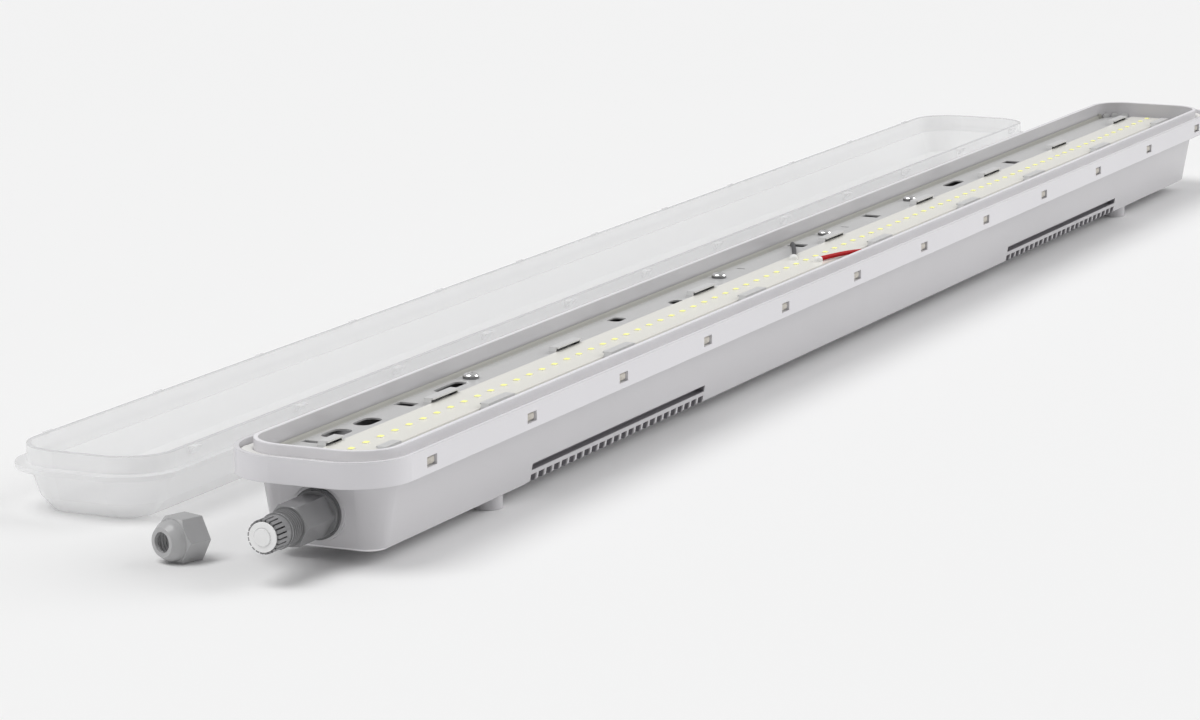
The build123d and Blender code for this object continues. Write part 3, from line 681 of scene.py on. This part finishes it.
def make_gland():
    """The gland with a real thread: a core slimmed to the root, and a ridge wound round it."""
    points, faces = copy_of_node("gland_body")
    low, high = GLAND_THREAD
    root, outer = GLAND_THREAD_ROOT, GLAND_THREAD_OUTER
    slimmed = []
    for x, y, z in points:
        radius = math.hypot(y, z - GLAND_AXIS_Z)
        if low - 0.05 < x < high + 0.05 and abs(radius - outer) < 0.05:
            y *= root / radius
            z = GLAND_AXIS_Z + (z - GLAND_AXIS_Z) * root / radius
        slimmed.append((x, y, z))
    body = mesh_object("gland_moulding", (slimmed, faces), 32.0)
    finish_piece(body, "gland_plastic", ["gland_body"])
    ridge = thread_ridge(low + 1.6, high - 0.3, 1.6, root - 0.1, outer, 0.60, 0.17)
    collar = lofted([ring(radius, along, 72) for radius, along in (
        (root - 0.2, 0.0), (7.9, 0.0), (outer, 0.1), (outer, 1.1), (7.85, 1.35), (root - 0.2, 1.4),
    )])
    collar = moved(collar, Matrix.Translation((low, 0, 0)) @ Matrix.Rotation(math.pi / 2, 4, "Y"))
    thread = moved(joined([ridge, collar]), Matrix.Translation((0, 0, GLAND_AXIS_Z)))
    winding = mesh_object("gland_thread", thread)
    finish_piece(winding, "gland_plastic", ["gland_body"])


def make_plug():
    """Blanking plug: a round plate with a raised button, on its stem."""
    # Radius and depth of each ring, from the inner end of the stem to the button
    rings = (
        (4.3, 15.0), (4.3, 0.0), (6.35, 0.0), (6.5, -0.12), (6.5, -0.8), (6.36, -1.0),
        (4.2, -1.0), (4.02, -0.6), (3.84, -0.65), (3.78, -1.35), (3.62, -1.5), (1.2, -1.5),
    )
    shape = lofted([ring(radius, depth, 72) for radius, depth in rings])
    turn = Matrix.Rotation(math.pi / 2, 4, "Y")
    place = Matrix.Translation((GLAND_FRONT, 0, GLAND_AXIS_Z)) @ turn
    plug = mesh_object("blanking_plug_disc", moved(shape, place), 40.0)
    finish_piece(plug, "plug_white", ["blanking_plug"])


def make_gasket():
    """Poured foam: a bead with a rounded top that fills the groove up to the windows."""
    loops = []
    length, width, corner = BEAD_OUTER
    for inset, z in ((0.15, 40.0), (0.15, 45.2), (0.5, 45.9), (1.1, 46.3), (2.0, 46.4)):
        loops.append(rounded_loop(length - 2 * inset, width - 2 * inset, corner - inset, z, 24))
    length, width, corner = BEAD_INNER
    for inset, z in ((1.6, 46.4), (0.8, 46.2), (0.35, 45.8), (0.15, 45.2), (0.15, 40.0)):
        loops.append(rounded_loop(length + 2 * inset, width + 2 * inset, corner + inset, z, 24))
    # At both ends of the lamp the bead stands higher against the skirt
    risen = []
    for loop in loops:
        lifted = []
        for x, y, z in loop:
            r = min(max((abs(x) - 556.0) / 24.0, 0.0), 1.0)
            lifted.append((x, y, z + (1.6 * r * r * (3 - 2 * r) if z > 44.0 else 0.0)))
        risen.append(lifted)
    shape = lofted(risen, False, False)
    count = len(loops[0])
    last = len(shape[0]) - count
    under = [(last + i, last + (i + 1) % count, (i + 1) % count, i) for i in range(count)]
    # The foam swells a little into each window of the skirt
    pad = lofted([
        rounded_loop(8.2, 3.6, 0.5, 0.0),
        rounded_loop(8.0, 3.4, 0.6, 0.9),
        rounded_loop(7.0, 2.4, 0.8, 1.5),
    ])
    pads = []
    for i in range(WINDOWS_PER_SIDE):
        for side in (-1, 1):
            place = Matrix.Translation((FIRST_WINDOW + WINDOW_PITCH * i, side * 38.7, 43.5))
            pads.append(moved(pad, place @ Matrix.Rotation(-side * math.pi / 2, 4, "X")))
    foam = joined([(shape[0], shape[1] + under)] + pads)
    bead = mesh_object("gasket_bead", foam, 50.0)
    finish_piece(bead, "gasket_foam", ["gasket"])


def make_tray():
    """The gear tray with narrow slots opened and its tabs lifted, as the photograph shows."""
    points, faces = copy_of_node("gear_tray")
    # From X, to X, from Y, to Y, and how far the edge in that window moves along X
    edges = (
        (361.5, 362.6, 15.0, 25.0, 7.0), (360.4, 361.5, 15.0, 25.0, -1.0),
        (135.2, 136.2, 18.5, 29.0, 5.6), (134.2, 135.2, 18.5, 29.0, -0.8),
        (27.8, 29.6, 18.5, 30.0, 3.0), (26.0, 27.8, 18.5, 30.0, -3.0),
        (27.8, 29.6, -30.0, -18.5, 3.0), (26.0, 27.8, -30.0, -18.5, -3.0),
    )
    opened = []
    for x, y, z in points:
        shift = sum(move for x0, x1, y0, y1, move in edges if x0 < x < x1 and y0 < y < y1)
        lift = 0.3 if z > 44.4 and abs(y) < 17.0 and abs(x) < 572.0 else 0.0
        opened.append((x + shift, y, z + lift))
    # Each tab is folded up from its outer side: a web joins it to the sheet there. Its face towards
    # the board is painted dark in tray_paint, a painted shade.
    sheet = [(opened, faces)]
    for middle, length in TAB_PLACES:
        foot, top = length / 2 - 0.3, length / 2 - 1.7
        for side in (-1, 1):
            web = lofted([
                [
                    (middle - foot, side * y, TRAY_TOP - 0.4),
                    (middle + foot, side * y, TRAY_TOP - 0.4),
                    (middle + top, side * y, 45.9),
                    (middle - top, side * y, 45.9),
                ]
                for y in ((15.9, 16.35) if side < 0 else (16.35, 15.9))
            ])
            sheet.append(web)
    tray = mesh_object("gear_tray_sheet", joined(sheet), 32.0)
    finish_piece(tray, "tray_paint", ["gear_tray"])


def tube(path, radius):
    """A smooth round tube through the points of the path."""
    knots = [Vector(p) for p in path]
    knots = [2 * knots[0] - knots[1]] + knots + [2 * knots[-1] - knots[-2]]
    line = []
    for a, b, c, d in zip(knots, knots[1:], knots[2:], knots[3:]):
        for i in range(TUBE_STEPS):
            t = i / TUBE_STEPS
            line.append(0.5 * (2 * b + (c - a) * t + (2 * a - 5 * b + 4 * c - d) * t * t
                               + (3 * b - a - 3 * c + d) * t * t * t))
    line.append(knots[-2])
    side = Vector((0, 0, 1))
    loops = []
    for i, place in enumerate(line):
        ahead = (line[min(i + 1, len(line) - 1)] - line[max(i - 1, 0)]).normalized()
        side = (side - side.dot(ahead) * ahead).normalized()
        other = ahead.cross(side)
        loop = []
        for k in range(TUBE_SIDES):
            turn = 2 * math.pi * k / TUBE_SIDES
            loop.append(tuple(place + radius * (math.cos(turn) * side + math.sin(turn) * other)))
        loops.append(loop)
    return lofted(loops)


def make_board_wires():
    """Round sleeves that arch from their terminals into the slots, and the domed terminals."""
    dome = lofted([rounded_loop(*size) for size in (
        (5.4, 4.4, 2.1, 0.0), (5.4, 4.4, 2.1, 1.1), (5.1, 4.1, 1.95, 1.8),
        (4.3, 3.3, 1.55, 2.35), (2.8, 1.9, 0.9, 2.7), (1.2, 0.6, 0.25, 2.8),
    )])
    # Known fault: both routes cut the sheet beside their slots and end 4 mm short of
    # the driver
    routes = (
        ("dark", 1, (
            (-19.4, 7.6, 45.4), (-14.0, 9.5, 45.6), (0.0, 15.4, 46.0), (13.0, 21.2, 45.8),
            (21.5, 25.0, 44.6), (25.6, 26.4, 41.6), (27.0, 25.6, 36.0), (27.8, 22.0, 31.0),
        )),
        ("red", -1, (
            (-19.4, -7.6, 45.4), (-14.0, -9.5, 45.6), (0.0, -14.6, 45.9), (12.0, -19.0, 45.4),
            (20.5, -22.2, 44.0), (25.4, -24.0, 41.0), (27.4, -24.4, 36.0), (27.8, -22.0, 31.0),
        )),
    )
    for colour, side, path in routes:
        wire = mesh_object(colour + "_wire_sleeve", tube(path, WIRE_SLEEVE_RADIUS), 60.0)
        sleeve = "wire_%s_sleeve" % colour
        finish_piece(wire, sleeve, ["wire_" + colour])
        turn = Matrix.Rotation(side * math.atan2(17.4, 48.8), 4, "Z")
        place = Matrix.Translation((-21.0, side * 7.0, BOARD_TOP)) @ turn
        terminal = mesh_object(colour + "_terminal_dome", moved(dome, place), 50.0)
        finish_piece(terminal, "terminal_white", ["board_terminal_" + colour])


def make_nut():
    body = mesh_object("dome_nut_moulding", copy_of_node("dome_nut"), 32.0)
    finish_piece(body, "nut_plastic", ["dome_nut"])
    # The thread is painted paler than the nut, a painted light inside the bore
    ridge = thread_ridge(-3.2, 11.6, 1.7, 7.38, 6.5, 0.48, 0.16)
    place = Matrix.Translation(NUT_PLACE) @ Matrix.Rotation(NUT_TURN, 4, "Z")
    thread = mesh_object("dome_nut_thread", moved(ridge, place))
    finish_piece(thread, "nut_thread", ["dome_nut"])


def make_floor():
    half = FLOOR_HALF
    mesh = bpy.data.meshes.new("floor")
    corners = [(-half, -half, 0), (half, -half, 0), (half, half, 0), (-half, half, 0)]
    mesh.from_pydata(corners, [], [(0, 1, 2, 3)])
    floor = bpy.data.objects.new("floor", mesh)
    bpy.context.scene.collection.objects.link(floor)
    floor.location.z = -FLOOR_DROP
    material, tree, shader = new_material("floor_paper")
    mottled(tree, shader, FLOOR_COLOUR, 0.002, 1.5)
    shader.inputs["Roughness"].default_value = 0.9
    shader.inputs["Specular IOR Level"].default_value = 0.1
    mesh.materials.append(material)


def make_world():
    world = bpy.data.worlds.new("studio")
    bpy.context.scene.world = world
    world.use_nodes = True
    background = world.node_tree.nodes["Background"]
    background.inputs["Color"].default_value = (1.0, 1.0, 1.0, 1.0)
    background.inputs["Strength"].default_value = SKY_LEVEL


def make_lamps():
    for name, source, level, angle in LAMPS:
        light = bpy.data.lights.new(name, "SUN")
        light.energy = level
        light.angle = math.radians(angle)
        lamp = bpy.data.objects.new(name, light)
        bpy.context.scene.collection.objects.link(lamp)
        lamp.rotation_euler = (-Vector(source)).to_track_quat("-Z", "Y").to_euler()


def make_camera():
    data = bpy.data.cameras.new("photo_camera")
    data.lens = CAMERA_LENS
    data.sensor_width = 36.0
    data.sensor_fit = "HORIZONTAL"
    data.clip_end = 100.0
    camera = bpy.data.objects.new("photo_camera", data)
    bpy.context.scene.collection.objects.link(camera)
    ahead = Vector((
        math.cos(CAMERA_YAW) * math.cos(CAMERA_PITCH),
        math.sin(CAMERA_YAW) * math.cos(CAMERA_PITCH),
        -math.sin(CAMERA_PITCH),
    ))
    right = ahead.cross(Vector((0, 0, 1))).normalized()
    up = right.cross(ahead)
    turn = Matrix((right, up, -ahead)).transposed().to_4x4()
    camera.matrix_world = Matrix.Translation(CAMERA_PLACE) @ turn
    bpy.context.scene.camera = camera


def main():
    dress_nodes()
    make_leds()
    make_screws()
    make_gland()
    make_nut()
    make_plug()
    make_gasket()
    make_tray()
    make_board_wires()
    make_floor()
    make_world()
    make_lamps()
    make_camera()
    bpy.context.scene.view_settings.view_transform = "Standard"


main()
